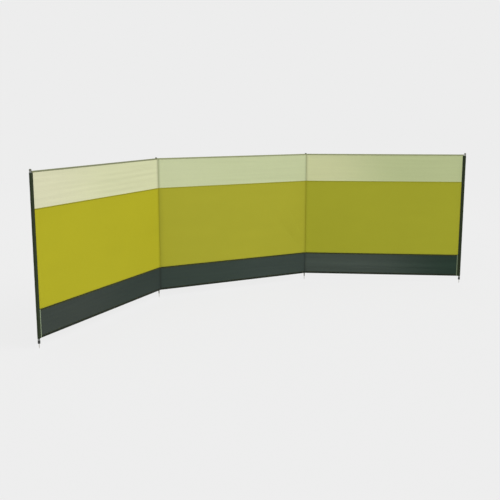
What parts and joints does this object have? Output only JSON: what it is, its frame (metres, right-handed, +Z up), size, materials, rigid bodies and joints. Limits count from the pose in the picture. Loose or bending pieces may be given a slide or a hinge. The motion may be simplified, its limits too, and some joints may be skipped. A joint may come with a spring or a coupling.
{
  "type": "beach windbreak",
  "caption": "Low cloth windbreak in bays of pale, olive and dark cloth, carried by steel poles in cloth sleeves with ground spikes; the outer bays fold about the middle poles.",
  "frame": {"origin": "centre of the flat underside of the left middle pole's foot, level with the ground", "axes": "+X along the centre bay towards the right middle pole, +Y away from the sheltered side, +Z up"},
  "size_m": [4.072, 0.9601, 1.288],
  "materials": {
    "pale_cloth": "woven, matt",
    "olive_cloth": "woven, matt",
    "dark_cloth": "woven, matt",
    "binding_tape": "woven tape",
    "hem_tape": "folded hem",
    "sleeve_cloth": "heavy woven cloth",
    "pole_tube": "galvanised tube",
    "cap_plastic": "moulded",
    "foot_plastic": "moulded",
    "spike_steel": "zinc plated"
  },
  "bodies": {
    "centre_bay": {"centre_bay_top_strip": "pale_cloth", "centre_bay_main_panel": "olive_cloth", "centre_bay_skirt": "dark_cloth", "centre_bay_binding": "binding_tape", "centre_bay_hem": "hem_tape", "left_middle_sleeve": "sleeve_cloth", "right_middle_sleeve": "sleeve_cloth", "left_middle_pole_lower": "pole_tube", "left_middle_pole_upper": "pole_tube", "left_middle_pole_cap": "cap_plastic", "left_middle_pole_foot": "spike_steel", "left_middle_pole_spike": "spike_steel", "right_middle_pole_lower": "pole_tube", "right_middle_pole_upper": "pole_tube", "right_middle_pole_cap": "cap_plastic", "right_middle_pole_foot": "spike_steel", "right_middle_pole_spike": "spike_steel"},
    "left_bay": {"left_bay_top_strip": "pale_cloth", "left_bay_main_panel": "olive_cloth", "left_bay_skirt": "dark_cloth", "left_bay_binding": "binding_tape", "left_bay_hem": "hem_tape", "left_end_sleeve": "sleeve_cloth", "left_end_pole_lower": "pole_tube", "left_end_pole_upper": "pole_tube", "left_end_pole_cap": "cap_plastic", "left_end_pole_foot": "foot_plastic", "left_end_pole_spike": "spike_steel"},
    "right_bay": {"right_bay_top_strip": "pale_cloth", "right_bay_main_panel": "olive_cloth", "right_bay_skirt": "dark_cloth", "right_bay_binding": "binding_tape", "right_bay_hem": "hem_tape", "right_end_sleeve": "sleeve_cloth", "right_end_pole_lower": "pole_tube", "right_end_pole_upper": "pole_tube", "right_end_pole_cap": "cap_plastic", "right_end_pole_foot": "foot_plastic", "right_end_pole_spike": "spike_steel"}
  },
  "joints": [
    {"name": "left_bay_fold", "type": "hinge", "parent": "centre_bay", "child": "left_bay", "pos_m": [0.00762, -0.02276, 0.036], "axis": [0, 0, 1], "range_deg": [-67, 81]},
    {"name": "right_bay_fold", "type": "hinge", "parent": "centre_bay", "child": "right_bay", "pos_m": [1.53262, -0.02276, 0.036], "axis": [0, 0, -1], "range_deg": [-60.8, 87.2]}
  ]
}
